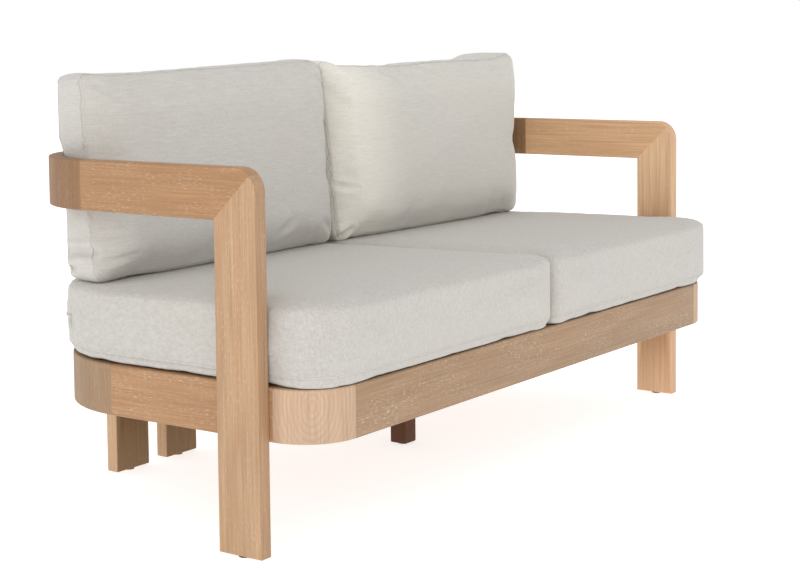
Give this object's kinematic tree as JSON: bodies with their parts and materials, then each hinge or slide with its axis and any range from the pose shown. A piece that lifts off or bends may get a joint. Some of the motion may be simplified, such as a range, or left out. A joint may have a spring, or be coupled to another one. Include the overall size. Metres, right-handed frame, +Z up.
{
  "type": "outdoor loveseat",
  "caption": "Two-seat outdoor sofa: teak rings with rounded corners form base, arms and back rail, with upright back boards, a slatted deck and loose box cushions.",
  "frame": {"origin": "On the floor, under the middle of the whole sofa's length and depth.", "axes": "+X along the length, to the right as seen from the front; +Y towards the back; +Z up."},
  "size_m": [1.524, 0.736, 0.8024],
  "materials": {
    "teak": "brushed and whitewashed",
    "centre_leg": "dark stained",
    "dowels": "plain turned",
    "fixings": "stainless",
    "glides": "moulded",
    "cushion_cloth": "plain woven",
    "cushion_foam": "open-cell foam"
  },
  "bodies": {
    "frame": {"back_bolts": "fixings", "back_inserts": "fixings", "back_leg_1": "teak", "back_leg_2": "teak", "back_leg_3": "teak", "back_leg_4": "teak", "back_rail": "teak", "back_slat_1": "teak", "back_slat_2": "teak", "back_slat_3": "teak", "base_back_left_corner": "teak", "base_back_rail": "teak", "base_back_right_corner": "teak", "base_front_left_corner": "teak", "base_front_rail": "teak", "base_front_right_corner": "teak", "base_left_rail": "teak", "base_right_rail": "teak", "base_ring_dowels": "dowels", "centre_beam": "teak", "centre_leg": "centre_leg", "cleat_screws": "fixings", "glides": "glides", "left_arm_rail": "teak", "left_back_corner": "teak", "left_beam": "teak", "left_cleat": "teak", "left_front_post": "teak", "leg_bolts": "fixings", "leg_inserts": "fixings", "mitre_dowels": "dowels", "post_bolts": "fixings", "post_inserts": "fixings", "right_arm_rail": "teak", "right_back_corner": "teak", "right_beam": "teak", "right_cleat": "teak", "right_front_post": "teak", "seat_slat_1": "teak", "seat_slat_2": "teak", "seat_slat_3": "teak", "seat_slat_4": "teak", "seat_slat_5": "teak", "seat_slat_6": "teak", "seat_slat_7": "teak", "seat_slat_8": "teak", "slat_screws": "fixings", "top_ring_dowels": "dowels"},
    "left_seat_cushion": {"left_seat_cover": "cushion_cloth", "left_seat_core": "cushion_foam"},
    "right_seat_cushion": {"right_seat_cover": "cushion_cloth", "right_seat_core": "cushion_foam"},
    "left_back_cushion": {"left_back_cover": "cushion_cloth", "left_back_core": "cushion_foam"},
    "right_back_cushion": {"right_back_cover": "cushion_cloth", "right_back_core": "cushion_foam"}
  },
  "joints": [
    {"name": "left_seat_cushion_pull", "type": "slide", "parent": "frame", "child": "left_seat_cushion", "axis": [0, -1, 0], "range_m": [0, 0.15]},
    {"name": "right_seat_cushion_pull", "type": "slide", "parent": "frame", "child": "right_seat_cushion", "axis": [0, -1, 0], "range_m": [0, 0.15]},
    {"name": "left_back_cushion_lift", "type": "slide", "parent": "frame", "child": "left_back_cushion", "axis": [0, 0, 1], "range_m": [0, 0.2]},
    {"name": "right_back_cushion_lift", "type": "slide", "parent": "frame", "child": "right_back_cushion", "axis": [0, 0, 1], "range_m": [0, 0.2]}
  ]
}
